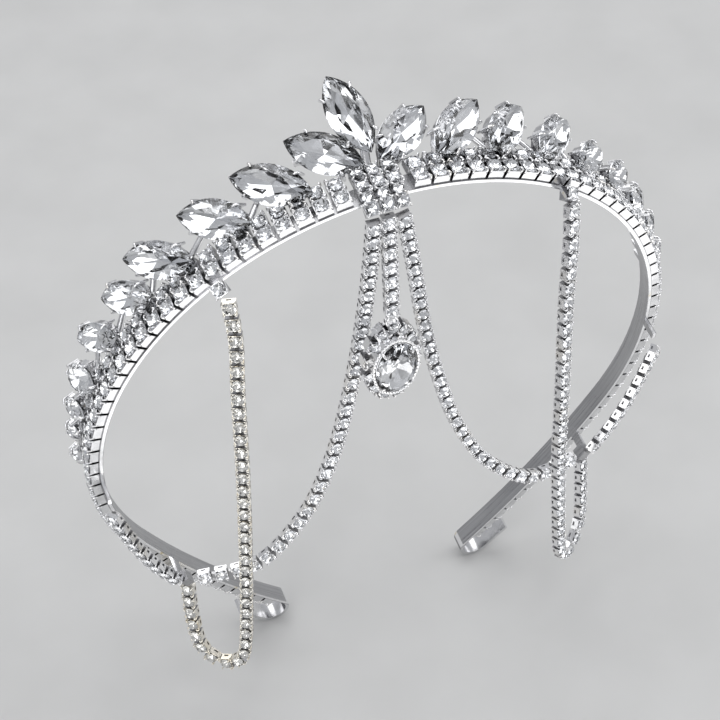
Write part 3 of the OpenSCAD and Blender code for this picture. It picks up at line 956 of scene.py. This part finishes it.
def halo_stone(i, rng):
    """Closed cup of the halo with its stone, turned along the oval of the halo."""
    half = HALO_SIDE / 2
    t = math.pi / 2 + 2 * math.pi * i / HALO_COUNT
    way = math.atan2(HALO_AXES[1] * math.cos(t), -HALO_AXES[0] * math.sin(t))
    # Painted shade on the cup's sides along x
    cup = with_painted_shade(box((-half, -half, DROP_BACK), (half, half, HALO_TOP)))
    stone = placed(cup_stone(HALO_SIDE, HALO_STONE, rng), moved(0, 0, HALO_TOP))
    at = moved(HALO_AXES[0] * math.cos(t), HALO_AXES[1] * math.sin(t), 0)
    return placed(joined(cup, stone), at @ turned("z", way))


def drop(rng):
    """Halo of stones in cups round a raised collar, with the oval stone and the ring."""
    frame_faces = Faces()
    place = moved(*DROP_MIDDLE) @ turned("z", DROP_TURN)
    place = place @ turned("x", math.pi / 2) @ turned("z", -DROP_LEAN)
    back = plate(oval(HALO_AXES, HALO_PLATE_MARGIN), DROP_BACK, HALO_PLATE_TOP)
    frame_faces.add(back, place)
    for i in range(HALO_COUNT):
        frame_faces.add(halo_stone(i, rng), place)
    collar = wall(oval(COLLAR), oval(COLLAR, -COLLAR_WALL), COLLAR_FOOT, COLLAR_TOP)
    frame_faces.add(collar, place)
    for x, y in oval(COLLAR, -BEAD_INSET, BEAD_COUNT):
        frame_faces.add(placed(bead(), moved(x, y, BEAD_HEIGHT)), place)
    at, length, width, lift, depth = stone_frame("drop_stone")
    frame_faces.add(claws(length, width, DROP_CLAW_REACH), at)
    frame_faces.add(ring(), moved(*STRAND, DROP_RING_HEIGHT) @ turned("x", math.pi / 2))
    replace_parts(frame_faces.piece("drop_frame", "drop", USUAL, "metal"), "drop_setting")
    stone = Faces()
    stone.add(cut_stone(length, width, lift, depth), at)
    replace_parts(stone.piece("cut_drop_stone", "drop", USUAL, "crystal"), "drop_stone")


# Light, floor and camera


def area_light(name, place, size, radiance, target=LIGHT_TARGET):
    """Soft light of an even brightness, turned to its target."""
    data = bpy.data.lights.new(name, "AREA")
    data.shape = "RECTANGLE"
    data.size, data.size_y = (s * MM for s in size)
    data.energy = radiance * math.pi * data.size * data.size_y
    lamp = bpy.data.objects.new(name, data)
    bpy.context.scene.collection.objects.link(lamp)
    lamp.location = [p * MM for p in place]
    way = lamp.location - type(lamp.location)([t * MM for t in target])
    lamp.rotation_euler = way.to_track_quat("Z", "Y").to_euler()
    lamp.visible_camera = False


def studio():
    world = bpy.data.worlds.new("studio")
    world.use_nodes = True
    background = world.node_tree.nodes["Background"]
    fill(world.node_tree, background, {"Color": (0.95, 0.965, 1.0), "Strength": 0.5})
    bpy.context.scene.world = world
    bpy.context.scene.view_settings.view_transform = "Standard"
    area_light("overhead", place=(40, 60, 650), size=(860, 680), radiance=1.45)
    area_light("key", place=(-560, -480, 380), size=(420, 520), radiance=2.5)
    area_light("side", place=(620, -120, 240), size=(420, 460), radiance=1.9)
    area_light("rear", place=(60, 720, 380), size=(900, 300), radiance=1.4)
    # The card lies on the floor in front, and the faces that look to the front mirror it
    lying = (*CARD_MIDDLE, FLOOR_HEIGHT + CARD_RISE)
    area_light("front_card", lying, size=(620, 250), radiance=0.95, target=(*CARD_MIDDLE, 0))


def floor():
    m, tree, shader, space = nodes_of("pale_floor")
    grain = mottle(tree, space["Object"], 35, 0, 1)
    colour = blend(tree, grain, (0.53, 0.53, 0.525), (0.57, 0.57, 0.565))
    fill(tree, shader, {"Base Color": colour, "Roughness": 0.6})
    mesh = bpy.data.meshes.new("floor")
    corners = [(x, y, FLOOR_HEIGHT * MM) for x, y in square(FLOOR_HALF * MM)]
    mesh.from_pydata(corners, [], [(0, 1, 2, 3)])
    mesh.materials.append(m)
    plane = bpy.data.objects.new("floor", mesh)
    bpy.context.scene.collection.objects.link(plane)


def camera():
    data = bpy.data.cameras.new("camera")
    data.lens = CAMERA_LENS
    data.sensor_width = CAMERA_SENSOR
    data.clip_start, data.clip_end = 0.01, 20
    obj = bpy.data.objects.new("camera", data)
    bpy.context.scene.collection.objects.link(obj)
    forward, up = np.array(CAMERA_FORWARD), np.array(CAMERA_UP)
    forward /= np.linalg.norm(forward)
    right = np.cross(forward, up)
    right /= np.linalg.norm(right)
    m = axes(right, np.cross(right, forward), -forward, np.array(CAMERA_PLACE) * MM)
    obj.matrix_world = [list(r) for r in m.T]
    bpy.context.scene.camera = obj


def main():
    rng = np.random.default_rng(SEED)
    for node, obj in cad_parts.items():
        obj.data.materials.clear()
        obj.data.materials.append(BAND_FINISH if node == "band" else METAL_FINISH)
    stones = [n for n in sorted(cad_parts) if "_stone" in n and n != "drop_stone"]
    stone_claws([large_stone(n) for n in stones])
    row("front_row_stones", FRONT_ROW_OFFSET, 0, FRONT_ROW_COUNT, rng)
    row("back_row_stones", BACK_ROW_OFFSET, BACK_ROW_DROP, BACK_ROW_COUNT, rng)
    block_stones(rng)
    chain("left_swag_chain", "left_swag", USUAL, rng)
    chain("right_swag_chain", "right_swag", USUAL, rng)
    chain("left_side_chain", "left_side_strand", CHAMPAGNE, rng)
    chain("right_side_chain", "right_side_strand", USUAL, rng)
    chain("centre_chain", "centre_strand", USUAL, rng)
    drop(rng)
    studio()
    floor()
    camera()


main()
